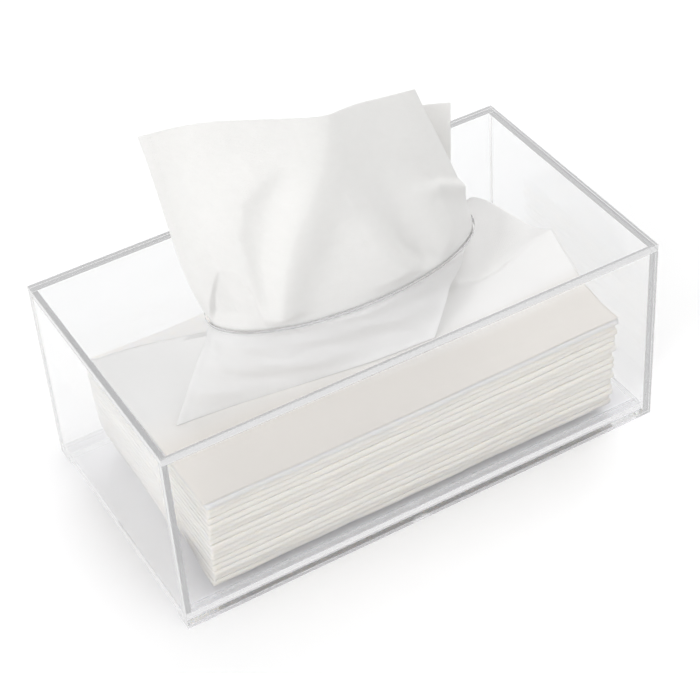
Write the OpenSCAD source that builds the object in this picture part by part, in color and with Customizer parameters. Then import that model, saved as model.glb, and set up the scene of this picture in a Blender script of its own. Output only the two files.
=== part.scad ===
// Clear tissue box, cut from flat sheet and cemented, with an oval slot in the top.
// Its base is a loose plate that slides out lengthways, under the left end wall.
// A pile of folded tissues lies in it. One tissue stands drawn up through the slot,
// and the next one follows it. Origin: middle of the footprint, at the bottom.
// X runs along the length, to the right. Y runs to the back. Z is up.

/* [Casing] */
// Length of the box, left to right
box_l = 220; // [206:1:300]
// Width of the box, front to back
box_w = 120; // [108:1:180]
// Height of the box
box_h = 90; // [84:1:140]
// Thickness of the clear sheet of the casing
sheet_t = 3; // [2:0.5:4]

/* [Slot] */
// Length of the oval slot in the top
slot_l = 120; // [110:1:140]
// Width of the oval slot in the top
slot_w = 52; // [46:1:64]

/* [Sliding base] */
// Thickness of the plate that slides out
base_t = 3; // [2:0.5:4]
// Width of the ledges that carry the plate
ledge_w = 6; // [4:0.5:12]
// Height of the ledges that carry the plate
ledge_h = 3; // [2:0.5:5]
// Clearance at each long edge of the plate
base_side_gap = 0.5; // [0.3:0.1:1]
// Clearance between the plate and the right end wall
base_stop_gap = 0.5; // [0.3:0.1:2]
// Clearance between the plate and the foot of the left end wall
base_top_gap = 0.4; // [0.3:0.1:1]

/* [Pile of tissues] */
// Length of a folded tissue
tissue_l = 188; // [150:1:194]
// Height of the pile along its front fold
pile_front_h = 47.5; // [40:0.5:50]
// Height of the pile along its back fold
pile_back_h = 44.2; // [40:0.5:48]
// Clearance between the top front fold and the front wall
fold_front_gap = 3.5; // [3:0.5:7]
// How far the lowest front fold lies behind the top one
fold_front_lean = 3; // [0:0.5:4]
// Clearance between the top back fold and the back wall
fold_back_gap = 8; // [3:0.5:13]
// How far the lowest back fold lies inside the top one
fold_back_lean = 4; // [0:0.5:8]
// How far a folded tissue may lie out of line, lengthways
stray_x = 0.7; // [0:0.1:2]
// How far a folded tissue may lie out of line, front to back
stray_y = 0.4; // [0:0.1:0.8]

/* [Next tissue] */
// Rise of its left end above the pile, along the crest behind the front fold
crest_left_h = 0.9; // [0.6:0.1:3]
// Rise of the crest above the pile in the middle
crest_mid_h = 6.4; // [5.5:0.1:9]
// Rise of the crest above the pile at the right end
crest_right_h = 3.3; // [1:0.1:6]
// Rise of the lifted right end above the pile, behind the crest
shoulder_h = 17.6; // [8:0.1:18]
// Width of the tissue where it is gathered in the slot
next_gather_w = 36; // [20:1:44]
// Height of its corner above the box, at the right
next_rise_right = 47.3; // [20:0.5:60]
// Height of its upper edge above the box, at the left
next_rise_left = 58; // [20:0.5:64]

/* [Pulled tissue] */
// Height of the left upper corner above the box
pull_rise_left = 87; // [50:1:120]
// Height of the highest point of the upper edge above the box
pull_rise_peak = 91.8; // [50:1:120]
// Height of the right upper corner above the box
pull_rise_right = 62.8; // [40:1:100]
// Reach of the left upper corner past the left end of the slot
pull_lean_left = 14; // [0:1:24]
// Distance of the right upper corner from the right end of the slot
pull_lean_right = 18.4; // [0:0.2:30]
// Height of the main folds, out of the face of the tissue
pull_fold_h = 3; // [0:0.5:5]

/* [Soft sheets] */
// Thickness of the solid that stands for one loose tissue
cloth_t = 0.6; // [0.4:0.1:0.8]
// Clearance between a tissue and what it lies on or leans against
soft_gap = 0.3; // [0.3:0.1:0.5]

/* [Hidden] */
layer_count = 16;
layer_names = [for (i = [1 : layer_count]) str("tissue_layer_", i < 10 ? "0" : "", i)];
CASING = ["top_panel", "front_wall", "back_wall", "left_end_wall", "right_end_wall"];

clear_tint = [0.86, 0.88, 0.9, 0.35];
ledge_tint = [0.8, 0.82, 0.85, 0.5];
pile_tint = [0.93, 0.91, 0.87];
tissue_tint = [0.98, 0.98, 0.97];

inner_l = box_l - 2 * sheet_t;
inner_w = box_w - 2 * sheet_t;
ceiling_z = box_h - sheet_t;
base_z = ledge_h;
base_top_z = base_z + base_t;
base_l = box_l - sheet_t - base_stop_gap;
base_w = inner_w - 2 * base_side_gap;
slot_sides = 96;

pile_foot_z = base_top_z + soft_gap;
fold_front_top = inner_w / 2 - fold_front_gap;
fold_front_foot = fold_front_top - fold_front_lean;
fold_back_top = inner_w / 2 - fold_back_gap;
fold_back_foot = fold_back_top - fold_back_lean;
nose_steps = 6;
stray_turn_x = 137;
stray_turn_y = 83;

// Height of the middle of a loose sheet above what it lies on
lay_h = soft_gap + cloth_t / 2;

function lerp(a, b, t) = a + (b - a) * t;
function clamp01(t) = min(1, max(0, t));
function smooth(t) = let (c = clamp01(t)) c * c * (3 - 2 * c);
// A bump that is 1 at t = 0 and dies out at t = -1 and t = 1
function bell(t) = let (c = clamp01(abs(t))) (1 - c * c) * (1 - c * c);
function unit(v) = v / norm(v);

// A point of the oval that lies the distance inset inside the slot's edge
function slot_point(angle, inset) =
    [(slot_l / 2 - inset) * cos(angle), (slot_w / 2 - inset) * sin(angle)];

// ---- Casing ----

// A flat rectangular piece of sheet between two corners
module sheet_piece(low, high) {
    translate(low)
        cube(high - low);
}

module top_panel() {
    color(clear_tint)
        translate([0, 0, ceiling_z])
            linear_extrude(sheet_t)
                difference() {
                    square([box_l, box_w], center = true);
                    polygon([for (k = [0 : slot_sides - 1]) slot_point(360 * k / slot_sides, 0)]);
                }
}

// The long walls run the full length and down to the table. side is -1 in front, 1 behind
module long_wall(side) {
    middle_y = side * (box_w - sheet_t) / 2;
    color(clear_tint)
        sheet_piece([-box_l / 2, middle_y - sheet_t / 2, 0],
            [box_l / 2, middle_y + sheet_t / 2, ceiling_z]);
}

module front_wall() {
    long_wall(-1);
}

module back_wall() {
    long_wall(1);
}

// The end walls stand between the long walls. side is -1 at the left, 1 at the right
module end_wall(side, foot_z) {
    middle_x = side * (box_l - sheet_t) / 2;
    color(clear_tint)
        sheet_piece([middle_x - sheet_t / 2, -inner_w / 2, foot_z],
            [middle_x + sheet_t / 2, inner_w / 2, ceiling_z]);
}

module left_end_wall() {
    end_wall(-1, base_top_z + base_top_gap);
}

module right_end_wall() {
    end_wall(1, 0);
}

// A strip along the foot of a long wall, up to the right end wall
module ledge(side) {
    middle_y = side * (inner_w - ledge_w) / 2;
    color(ledge_tint)
        sheet_piece([-box_l / 2, middle_y - ledge_w / 2, 0],
            [inner_l / 2, middle_y + ledge_w / 2, ledge_h]);
}

module front_ledge() {
    ledge(-1);
}

module back_ledge() {
    ledge(1);
}

// The loose plate lies on the ledges, flush with the casing at the left
module sliding_base() {
    color(clear_tint)
        sheet_piece([-box_l / 2, -base_w / 2, base_z],
            [-box_l / 2 + base_l, base_w / 2, base_top_z]);
}

// ---- Pile of folded tissues ----

function pile_share(y) = (y + fold_front_top) / (fold_front_top + fold_back_top);
function pile_h(y) = lerp(pile_front_h, pile_back_h, pile_share(y));
function pile_top(y) = pile_foot_z + pile_h(y);
function layer_pitch(y) = (pile_h(y) + soft_gap) / layer_count;
function layer_low(i, y) = pile_foot_z + (i - 1) * layer_pitch(y);
function layer_thick(y) = layer_pitch(y) - soft_gap;
function layer_share(i) = (i - 1) / (layer_count - 1);
function stray(i, turn, most) = most * sin(turn * i);

// Half a circle of fold at one edge of a layer. side is -1 in front, 1 behind
function fold_nose(i, y, side) =
    let (r = layer_thick(y - side * layer_thick(y) / 2) / 2)
    let (middle_y = y - side * r)
    let (middle_z = layer_low(i, middle_y) + r)
    [for (k = [0 : nose_steps]) let (a = -90 + 180 * k / nose_steps)
        [middle_y + side * r * cos(a), middle_z + side * r * sin(a)]];

// One folded tissue: a flat wedge with a rounded fold in front and behind
module tissue_layer(i) {
    shift_y = stray(i, stray_turn_y, stray_y);
    front_y = shift_y - lerp(fold_front_foot, fold_front_top, layer_share(i));
    back_y = shift_y + lerp(fold_back_foot, fold_back_top, layer_share(i));
    color(pile_tint)
        translate([stray(i, stray_turn_x, stray_x) - tissue_l / 2, 0, 0])
            rotate([90, 0, 90])
                linear_extrude(tissue_l)
                    polygon(concat(fold_nose(i, back_y, 1), fold_nose(i, front_y, -1)));
}

// ---- Loose sheets ----

// Normal of a grid of points at row i, place j, from its neighbours
function grid_normal(grid, i, j) =
    let (rows = len(grid), places = len(grid[0]))
    unit(cross(grid[i][min(places - 1, j + 1)] - grid[i][max(0, j - 1)],
        grid[min(rows - 1, i + 1)][j] - grid[max(0, i - 1)][j]));

// A thin closed solid around a grid of points: two skins and a rim, all triangles
module loose_sheet(grid) {
    rows = len(grid);
    places = len(grid[0]);
    skin = rows * places;
    half = cloth_t / 2;
    points = [for (side = [1, -1]) for (i = [0 : rows - 1]) for (j = [0 : places - 1])
        grid[i][j] + side * half * grid_normal(grid, i, j)];
    upper = [for (i = [0 : rows - 2]) for (j = [0 : places - 2])
        let (a = i * places + j, b = a + 1, c = a + places, d = c + 1)
        each [[a, c, d], [a, d, b]]];
    lower = [for (f = upper) [f[2] + skin, f[1] + skin, f[0] + skin]];
    border = concat([for (j = [0 : places - 2]) j],
        [for (i = [0 : rows - 2]) i * places + places - 1],
        [for (j = [places - 1 : -1 : 1]) (rows - 1) * places + j],
        [for (i = [rows - 1 : -1 : 1]) i * places]);
    count = len(border);
    rim = [for (k = [0 : count - 1])
        let (a = border[k], b = border[(k + 1) % count])
        each [[a, b, b + skin], [a, b + skin, a + skin]]];
    polyhedron(points, concat(upper, lower, rim), convexity = 8);
}

// ---- Next tissue ----
// u runs from its left end to its right end

next_places = 26;
next_slot_inset = 2;
next_slot_angle = 17;
next_slot_turn = 5.4;
crest_y_left = -14;
crest_y_right = -28.5;
crest_swell_y = 10;
shoulder_y_left = 30;
shoulder_y_right = -8;
shoulder_swell_y = 4;
shoulder_lift_mid = 0.28;
hollow_share = 0.17;
edge_bow = 10.5;
edge_gap = lay_h + 0.3;

function next_x(u) = lerp(-tissue_l / 2, tissue_l / 2, u);

// On the pile, along the front fold
function next_front(u) = [next_x(u), -fold_front_top, pile_top(-fold_front_top) + lay_h];

// Rise of the crest above the pile along its length
function crest_rise(u) =
    let (middle_h = crest_mid_h - (crest_left_h + crest_right_h) / 2)
    lerp(crest_left_h, crest_right_h, u) + middle_h * bell((u - 0.5) / 0.55);

// The crest that runs behind the front fold
function next_crest(u) =
    let (y = lerp(crest_y_left, crest_y_right, u) - crest_swell_y * bell((u - 0.55) / 0.5))
    [next_x(u), y, pile_top(y) + crest_rise(u)];

// Behind the crest it lies flat at the left and is lifted at the right, most at its corner
function next_lift(u) = shoulder_lift_mid * smooth((u - 0.3) / 0.4)
    + (1 - shoulder_lift_mid) * pow(clamp01((u - 0.714) / 0.286), 1.15);
function next_shoulder(u) =
    let (y = lerp(shoulder_y_left, shoulder_y_right, smooth(u * 1.15))
        - shoulder_swell_y * bell((u - 0.83) / 0.15))
    [next_x(u), y, pile_top(y) + lerp(lay_h + 0.3, shoulder_h, next_lift(u))];

// Gathered in the slot, under the top
function next_slot(u) =
    let (right = slot_point(next_slot_angle, next_slot_inset))
    [right[0] - next_gather_w * (1 - u), right[1] + next_slot_turn * (1 - u), ceiling_z];

// Its upper edge, with the corner at the right
function next_tip(u) =
    let (foot = next_slot(u))
    [foot[0] + lerp(-5.4, 4.5, u), foot[1] + lerp(4.5, 4.9, u),
        box_h + lerp(next_rise_left, next_rise_right, u)];

// It stays low until it is near the slot. Its right edge rises at once, close under the top,
// and a hollow lies between that edge and the shoulder
function next_rise(u, t) =
    let (a = next_shoulder(u), b = next_slot(u), edge = smooth((u - 0.78) / 0.22))
    let (y = lerp(a[1], b[1], t), share = pow(t, 5 - 2.8 * bell((u - 0.66) / 0.3)))
    let (low = pile_top(y) + lerp(a[2] - pile_top(a[1]), b[2] - pile_top(b[1]), share))
    let (high = lerp(a[2], b[2] - edge_gap, smooth(t / 0.75)) + edge_gap * pow(t, 8))
    let (hollow = hollow_share * shoulder_h * bell((u - 0.88) / 0.12) * bell((t - 0.25) / 0.25))
    let (bow = edge_bow * edge * smooth((t - 0.15) / 0.35) * (1 - smooth((t - 0.6) / 0.4)))
    [lerp(a[0], b[0], t), y + bow, lerp(low, high, edge) - hollow];

// From the front fold it swells up to the crest
function next_swell(u, t) =
    let (a = next_front(u), b = next_crest(u))
    [a[0], lerp(a[1], b[1], t), lerp(a[2], b[2], sin(90 * t))];

function next_rows(u) = concat(
    [for (k = [0 : 5]) next_swell(u, k / 6)],
    [for (k = [0 : 5]) lerp(next_crest(u), next_shoulder(u), k / 6)],
    [for (k = [0 : 8]) next_rise(u, k / 9)],
    [for (k = [0 : 3]) lerp(next_slot(u), next_tip(u), k / 3)]);

module next_tissue() {
    columns = [for (j = [0 : next_places]) next_rows(j / next_places)];
    rows = len(columns[0]);
    color(tissue_tint)
        loose_sheet([for (i = [0 : rows - 1]) [for (column = columns) column[i]]]);
}

// ---- Pulled tissue ----
// u runs from its left edge to its right edge. w is -1 at its lower edge, 0 in the slot and
// 1 at its upper edge

pull_places = 28;
pull_rows_under = 6;
pull_rows_over = 13;
pull_slot_inset = soft_gap + cloth_t / 2 + 0.15;
pull_angle_left = 180;
pull_angle_right = 350;
pull_across = 140;
pull_up = 90;

// Upper edge: place from the middle of the slot, and height above the box
pull_upper_edge = [
    [-slot_l / 2 - pull_lean_left, 8, pull_rise_left],
    [-53, -4, pull_rise_peak],
    [-30, -12, pull_rise_peak - 3.1],
    [-11.4, -12, pull_rise_peak - 8.1],
    [slot_l / 2 - pull_lean_right, 8, pull_rise_right]];

// Lower edge: place from the middle. It rests over the crest of the next tissue, just behind it
pull_rest_gap = 1.1;
pull_lower_places = [[-90, -11], [-60, -15.5], [-30, -22.5], [0, -28], [24, -29]];
pull_lower_edge = [for (p = pull_lower_places)
    [p[0], p[1], crest_rise(p[0] / tissue_l + 0.5) + pull_rest_gap]];

// Main folds: foot and head on the sheet in mm across and up, half width, share of the height
pull_folds = [
    [37, 2, 54, 66, 5, 1],
    [33, 27, 34, 48, 6, -0.8],
    [34, 48, 52, 70, 6, -0.6],
    [73, 44, 80, 24, 6, 0.7],
    [79, 30, 93, 3, 5, -0.7],
    [108, 37, 136, 25, 4, 0.6]];

function path_lengths(points, k = 0, sum = 0) =
    k == len(points) - 1 ? [sum]
    : concat([sum], path_lengths(points, k + 1, sum + norm(points[k + 1] - points[k])));

// The point at share t of the length of a chain of straight lines
function path_point(points, t) =
    let (s = path_lengths(points))
    let (want = clamp01(t) * s[len(s) - 1])
    let (k = min(len(points) - 2, max([for (i = [0 : len(s) - 2]) s[i] <= want ? i : 0])))
    lerp(points[k], points[k + 1], (want - s[k]) / (s[k + 1] - s[k]));

function segment_distance(p, a, b) =
    norm(p - a - (b - a) * clamp01((p - a) * (b - a) / ((b - a) * (b - a))));

// How far the face stands out at a place, dying out towards the slot
function pull_relief(u, w) =
    let (place = [u * pull_across, w * pull_up])
    let (sums = [for (f = pull_folds)
        f[5] * exp(-pow(segment_distance(place, [f[0], f[1]], [f[2], f[3]]) / f[4], 2))])
    pull_fold_h * smooth(w / 0.12) * (sums * [for (f = pull_folds) 1]);

function pull_slot_place(u) =
    slot_point(lerp(pull_angle_left, pull_angle_right, u), pull_slot_inset);

function pull_over(u, t) =
    let (s = pull_slot_place(u))
    let (foot = [s[0], s[1], box_h])
    let (head = path_point(pull_upper_edge, u) + [0, 0, box_h])
    let (bow = t * (1 - t) * (1 - t) / 0.148)
    lerp(foot, head, t) + [bow * (1.6 * pow(u, 3) - 2.6 * pow(1 - u, 3)), 0, 0];

function pull_under(u, t) =
    let (s = pull_slot_place(u), edge = path_point(pull_lower_edge, u))
    lerp([s[0], s[1], ceiling_z], edge + [0, 0, pile_top(edge[1])], t);

// The face's outward direction above the slot, from small steps along it
function pull_normal(u, t) =
    unit(cross(pull_over(min(1, u + 0.01), t) - pull_over(max(0, u - 0.01), t),
        pull_over(u, t + 0.01) - pull_over(u, max(0, t - 0.01))));

function pull_rows(u) = concat(
    [for (k = [pull_rows_under : -1 : 0]) pull_under(u, k / pull_rows_under)],
    [for (k = [0 : pull_rows_over]) let (t = k / pull_rows_over)
        pull_over(u, t) + pull_relief(u, t) * pull_normal(u, t)]);

module pulled_tissue() {
    columns = [for (j = [0 : pull_places]) pull_rows(j / pull_places)];
    rows = len(columns[0]);
    color(tissue_tint)
        loose_sheet([for (i = [0 : rows - 1]) [for (column = columns) column[i]]]);
}

top_panel();
front_wall();
back_wall();
left_end_wall();
right_end_wall();
front_ledge();
back_ledge();
sliding_base();
for (i = [1 : layer_count])
    tissue_layer(i);
next_tissue();
pulled_tissue();
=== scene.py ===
"""A clear tissue box with a slide-out base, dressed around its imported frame.

Units are metres. X runs along the box to the right, Y to the back and Z up, from the middle of
its footprint. Shapes are worked out in millimetres and brought to metres when a mesh is made.
"""

import math

import bpy
import numpy as np
from bpy.props import FloatProperty, FloatVectorProperty, IntProperty, PointerProperty
from bpy.types import Operator, Panel, PropertyGroup
from mathutils import Matrix, Vector


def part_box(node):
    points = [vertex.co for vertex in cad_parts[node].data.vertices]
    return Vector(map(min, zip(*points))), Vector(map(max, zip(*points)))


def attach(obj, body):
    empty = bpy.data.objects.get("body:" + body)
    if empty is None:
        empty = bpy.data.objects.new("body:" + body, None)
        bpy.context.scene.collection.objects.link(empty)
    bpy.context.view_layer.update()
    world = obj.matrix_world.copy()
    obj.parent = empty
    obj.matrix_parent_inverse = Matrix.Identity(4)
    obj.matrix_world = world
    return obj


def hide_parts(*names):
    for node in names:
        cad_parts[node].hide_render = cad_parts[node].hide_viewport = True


bl_info = {
    "name": "Clear tissue box",
    "version": (1, 0, 0),
    "blender": (4, 5, 0),
    "location": "View3D > Sidebar > Tissue Box",
    "description": "Dresses the packed tissue box: clear panels, folded pile, loose tissues and stage",
    "category": "Object",
}

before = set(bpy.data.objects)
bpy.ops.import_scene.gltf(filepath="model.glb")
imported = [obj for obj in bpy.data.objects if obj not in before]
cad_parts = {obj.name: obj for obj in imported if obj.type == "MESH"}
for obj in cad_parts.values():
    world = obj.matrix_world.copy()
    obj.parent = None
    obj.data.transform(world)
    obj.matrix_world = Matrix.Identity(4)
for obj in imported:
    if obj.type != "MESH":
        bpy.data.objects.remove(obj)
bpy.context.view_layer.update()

MM = 0.001
CASING_BODY = "casing"
BASE_BODY = "sliding_base"
LAYER_NODES = sorted(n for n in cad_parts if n.startswith("tissue_layer_"))


def corners_mm(node):
    """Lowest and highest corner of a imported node, in millimetres."""
    low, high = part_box(node)
    return np.array(low) / MM, np.array(high) / MM


TOP_LOW, TOP_HIGH = corners_mm("top_panel")
BOX_H = TOP_HIGH[2]
CEILING = TOP_LOW[2]
PILE_FOOT = corners_mm(LAYER_NODES[0])[0][2]
PILE_LOW, PILE_HIGH = corners_mm(LAYER_NODES[-1])
PILE_FRONT_TOP = PILE_HIGH[2]
FRONT_FOLD_Y = -53.5
BACK_FOLD_Y = 49.0


# ---- Sizes and colours that a user may change ----


class CasingSettings(PropertyGroup):
    slot_length: FloatProperty(
        name="Slot length", description="Length of the oval slot", default=0.12, unit="LENGTH"
    )
    slot_width: FloatProperty(
        name="Slot width", description="Width of the oval slot", default=0.052, unit="LENGTH"
    )
    edge_round: FloatProperty(
        name="Edge polish",
        description="Rounding that polishing leaves on each edge of the clear sheet",
        default=0.0002,
        unit="LENGTH",
    )
    seam: FloatProperty(
        name="Seam",
        description="Width of the seam line where two pieces of clear sheet meet",
        default=0.00004,
        unit="LENGTH",
    )
    tint: FloatVectorProperty(
        name="Tint",
        description="What a long way through the clear sheet lets through",
        default=(0.50, 0.50, 0.51),
        size=3,
        min=0.0,
        max=1.0,
        subtype="COLOR",
    )
    depth: FloatProperty(
        name="Tint depth", description="How fast the clear sheet tints light, per metre", default=9.0
    )


class PileSettings(PropertyGroup):
    colour: FloatVectorProperty(
        name="Paper",
        description="Colour of the folded tissues",
        default=(0.85, 0.815, 0.755),
        size=3,
        min=0.0,
        max=1.0,
        subtype="COLOR",
    )
    plies: IntProperty(name="Plies", description="Plies that show in each folded tissue", default=3)
    groove: FloatProperty(
        name="Ply grooves",
        description="Depth of the grooves between the plies along the folds",
        default=0.00012,
        unit="LENGTH",
    )
    ragged: FloatProperty(
        name="Ragged ends",
        description="How far the cut ends of the folded tissues wander",
        default=0.00006,
        unit="LENGTH",
    )


class LooseSettings(PropertyGroup):
    next_colour: FloatVectorProperty(
        name="Next paper",
        description="Colour of the next tissue",
        default=(0.99, 0.982, 0.965),
        size=3,
        min=0.0,
        max=1.0,
        subtype="COLOR",
    )
    colour: FloatVectorProperty(
        name="Paper",
        description="Colour of the pulled tissue",
        default=(0.938, 0.934, 0.922),
        size=3,
        min=0.0,
        max=1.0,
        subtype="COLOR",
    )
    thickness: FloatProperty(
        name="Thickness", description="Thickness of one tissue", default=0.00012, unit="LENGTH"
    )
    fold_share: FloatProperty(
        name="Folds", description="Height of the folds, 1 as modelled", default=1.0, min=0.0, max=2.0
    )


class StageSettings(PropertyGroup):
    floor_size: FloatProperty(
        name="Floor size", description="Width of the floor", default=8.0, unit="LENGTH"
    )
    floor_colour: FloatVectorProperty(
        name="Floor",
        description="Colour of the floor",
        default=(0.82, 0.82, 0.82),
        size=3,
        min=0.0,
        max=1.0,
        subtype="COLOR",
    )


# ---- Small tools for shapes ----


def lerp(a, b, t):
    """Straight blend from a to b as t goes from 0 to 1."""
    return a + (b - a) * t


def smooth(t):
    """An S-shaped step from 0 to 1."""
    t = np.clip(t, 0, 1)
    return t * t * (3 - 2 * t)


def bell(t):
    """A bump that is 1 at t = 0 and dies out at t = -1 and t = 1."""
    t = np.clip(np.abs(t), 0, 1)
    return (1 - t * t) ** 2


def path_point(points, t):
    """The point at share t of the length of a chain of straight lines."""
    points = np.array(points, float)
    steps = np.linalg.norm(np.diff(points, axis=0), axis=1)
    at = np.concatenate([[0], np.cumsum(steps)]) / steps.sum()
    return np.stack([np.interp(t, at, points[:, k]) for k in range(3)], axis=-1)


def round_path(points, t, reach):
    """The same point with the corners of the chain rounded over a reach on each side."""
    room = np.minimum(reach, np.minimum(t, 1 - t))
    steps = np.linspace(-1, 1, 9)
    return sum(path_point(points, t + room * k) for k in steps) / len(steps)


def crease_relief(x, y, creases):
    """Sum of ridges and hollows along chains of straight lines on the flat sheet.

    A crease is (height, edge, points). A point is (across, up, share of the height, half width to
    the left, half width to the right), listed upwards. edge 0 gives a soft bell across the chain,
    edge 1 a sharp crest.
    """
    total = np.zeros_like(x)
    for height, edge, points in creases:
        best = np.full_like(x, np.inf)
        value = np.zeros_like(x)
        for a, b in zip(points[:-1], points[1:]):
            dx, dy = b[0] - a[0], b[1] - a[1]
            t = np.clip(((x - a[0]) * dx + (y - a[1]) * dy) / (dx * dx + dy * dy), 0, 1)
            off_x, off_y = x - a[0] - dx * t, y - a[1] - dy * t
            d = np.hypot(off_x, off_y)
            left = dx * off_y - dy * off_x > 0
            width = np.where(left, lerp(a[3], b[3], t), lerp(a[4], b[4], t))
            soft, sharp = np.exp(-((d / width) ** 2)), np.exp(-d / width)
            near = d < best
            best = np.where(near, d, best)
            value = np.where(near, lerp(a[2], b[2], t) * lerp(soft, sharp, edge), value)
        total += height * value
    return total


def ripple(x, y, waves):
    """Sum of plain waves, each (length, turn in degrees, height, phase)."""
    total = 0.0
    for length, turn, height, phase in waves:
        c, s = math.cos(math.radians(turn)), math.sin(math.radians(turn))
        total = total + height * np.sin(2 * math.pi * (x * c + y * s) / length + phase)
    return total


def grid_faces(rows, places, close_rows=False):
    """Quads between the points of a grid stored row by row."""
    last = rows if close_rows else rows - 1
    i, j = np.meshgrid(np.arange(last), np.arange(places - 1), indexing="ij")
    a = i * places + j
    b = ((i + 1) % rows) * places + j
    return np.stack([a, a + 1, b + 1, b], axis=-1).reshape(-1, 4)


def mesh_object(name, points_mm, faces, uv=None, smooth_faces=True):
    """An object at the origin whose mesh has the given points, in millimetres, and faces."""
    mesh = bpy.data.meshes.new(name)
    points = np.asarray(points_mm, float).reshape(-1, 3) * MM
    mesh.from_pydata(points.tolist(), [], [list(map(int, f)) for f in faces])
    if uv is not None:
        loops = np.zeros(len(mesh.loops), np.int32)
        mesh.loops.foreach_get("vertex_index", loops)
        layer = mesh.uv_layers.new(name="UVMap")
        layer.data.foreach_set("uv", np.asarray(uv, np.float32).reshape(-1, 2)[loops].ravel())
    mesh.polygons.foreach_set("use_smooth", np.full(len(mesh.polygons), smooth_faces))
    mesh.update()
    obj = bpy.data.objects.new(name, mesh)
    bpy.context.scene.collection.objects.link(obj)
    return obj


def set_material(obj, material):
    """Give the object this one material, in place of any it has."""
    obj.data.materials.clear()
    obj.data.materials.append(material)


# ---- Materials ----


class Nodes:
    """Short words for building a node tree."""

    def __init__(self, tree):
        """Start from an empty tree."""
        self.tree = tree
        tree.nodes.clear()

    def add(self, kind, inputs=(), **attributes):
        """A new node. An input is linked where its value is a socket, and set where it isn't."""
        node = self.tree.nodes.new(kind)
        for key, value in attributes.items():
            setattr(node, key, value)
        for key, value in dict(inputs).items():
            if isinstance(value, bpy.types.NodeSocket):
                self.tree.links.new(value, node.inputs[key])
            else:
                node.inputs[key].default_value = value
        return node

    def maths(self, operation, a, b=0.0):
        """The result of one sum on a and b."""
        return self.add("ShaderNodeMath", {0: a, 1: b}, operation=operation).outputs[0]

    def ramp(self, value, start, end, at_start, at_end):
        """Straight from at_start to at_end as value goes from start to end, and level beyond."""
        inputs = {0: value, 1: start, 2: end, 3: at_start, 4: at_end}
        return self.add("ShaderNodeMapRange", inputs).outputs[0]

    def blend(self, share, a, b, how="MIX"):
        """Colour a with a share of colour b mixed in or multiplied on."""
        inputs = {0: share, 6: a, 7: b}
        return self.add("ShaderNodeMix", inputs, data_type="RGBA", blend_type=how).outputs[2]


CLEAR_COLOUR = (0.968, 0.97, 0.972)
CLEAR_IOR = 1.49
# What each face lets through of the light from the lamps
CASING_PASSES = (0.985, 0.985, 0.99)
BASE_PASSES = (0.955, 0.953, 0.962)
# Turns inside the sheet after which a ray shows the painted glow of guided light, and turns in all that
# still are few
GUIDED_TURNS = 2.5
FEW_TURNS = 4.5
# Strength of the painted glow that stands in for guided light, after few turns and after more
CASING_GUIDED = (0.84, 0.62)
BASE_GUIDED = (0.95, 0.95)
# Grey colour of the slot's cut face: painted shade for the dark line along the cut
CUT_PAINTED_SHADE = (0.42, 0.42, 0.43)
CUT_ROUGHNESS = 0.15
CUT_CLEARNESS = 0.35


def clear_material(name, settings, through, guided_light):
    """Clear cast sheet: smooth, bends light, and tints only over a long way through it.

    Light from the lamps passes unbent, and through says what each face lets through. A ray that
    has turned inside the sheet more than GUIDED_TURNS times ends on a painted glow, an emission
    that stands in for the light the sheet carries along: guided_light, for few and for more turns
    in all, which paints grey lines at the edges.
    """
    material = bpy.data.materials.new(name)
    material.use_nodes = True
    n = Nodes(material.node_tree)
    out = n.add("ShaderNodeOutputMaterial")
    path = n.add("ShaderNodeLightPath")
    body = n.add(
        "ShaderNodeBsdfPrincipled",
        {
            "Base Color": (*CLEAR_COLOUR, 1),
            "Roughness": 0.0,
            "IOR": CLEAR_IOR,
            "Transmission Weight": 1.0,
        },
    )
    passed = n.add("ShaderNodeBsdfTransparent", {"Color": (*through, 1)})
    lamps = n.maths("MAXIMUM", path.outputs["Is Shadow Ray"], path.outputs["Is Diffuse Ray"])
    guided = n.maths("GREATER_THAN", path.outputs["Glossy Depth"], GUIDED_TURNS)
    few, more = guided_light
    far = n.maths("GREATER_THAN", path.outputs["Ray Depth"], FEW_TURNS)
    strength = n.maths("ADD", n.maths("MULTIPLY", far, more - few), few)
    painted_glow = n.add("ShaderNodeEmission", {"Color": (1, 1, 1, 1), "Strength": strength})
    mix = n.add("ShaderNodeMixShader", {0: guided, 1: body.outputs[0], 2: painted_glow.outputs[0]})
    mix = n.add("ShaderNodeMixShader", {0: lamps, 1: mix.outputs[0], 2: passed.outputs[0]})
    tint = n.add(
        "ShaderNodeVolumeAbsorption", {"Color": (*settings.tint, 1), "Density": settings.depth}
    )
    n.tree.links.new(mix.outputs[0], out.inputs["Surface"])
    n.tree.links.new(tint.outputs[0], out.inputs["Volume"])
    return material


def cut_material():
    """The cut edge of the slot: clear sheet that is a little less smooth, with a grey colour as painted
    shade for the dark line along the cut.
    """
    material = bpy.data.materials.new("slot_edge")
    material.use_nodes = True
    n = Nodes(material.node_tree)
    out = n.add("ShaderNodeOutputMaterial")
    body = n.add(
        "ShaderNodeBsdfPrincipled",
        {
            "Base Color": (*CUT_PAINTED_SHADE, 1),
            "Roughness": CUT_ROUGHNESS,
            "IOR": CLEAR_IOR,
            "Transmission Weight": CUT_CLEARNESS,
        },
    )
    n.tree.links.new(body.outputs[0], out.inputs["Surface"])
    return material


FOLDED_CREPE = 0.5
LOOSE_CREPE = 0.6
FIBRE_TONE = (0.965, 0.965, 0.965)
LINE_SHARE = 0.5
# Light through the part below the slot, and the map's height at which it has fallen to that
UNDER_GLOW = 0.05
UNDER_FADE = -0.04


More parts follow.
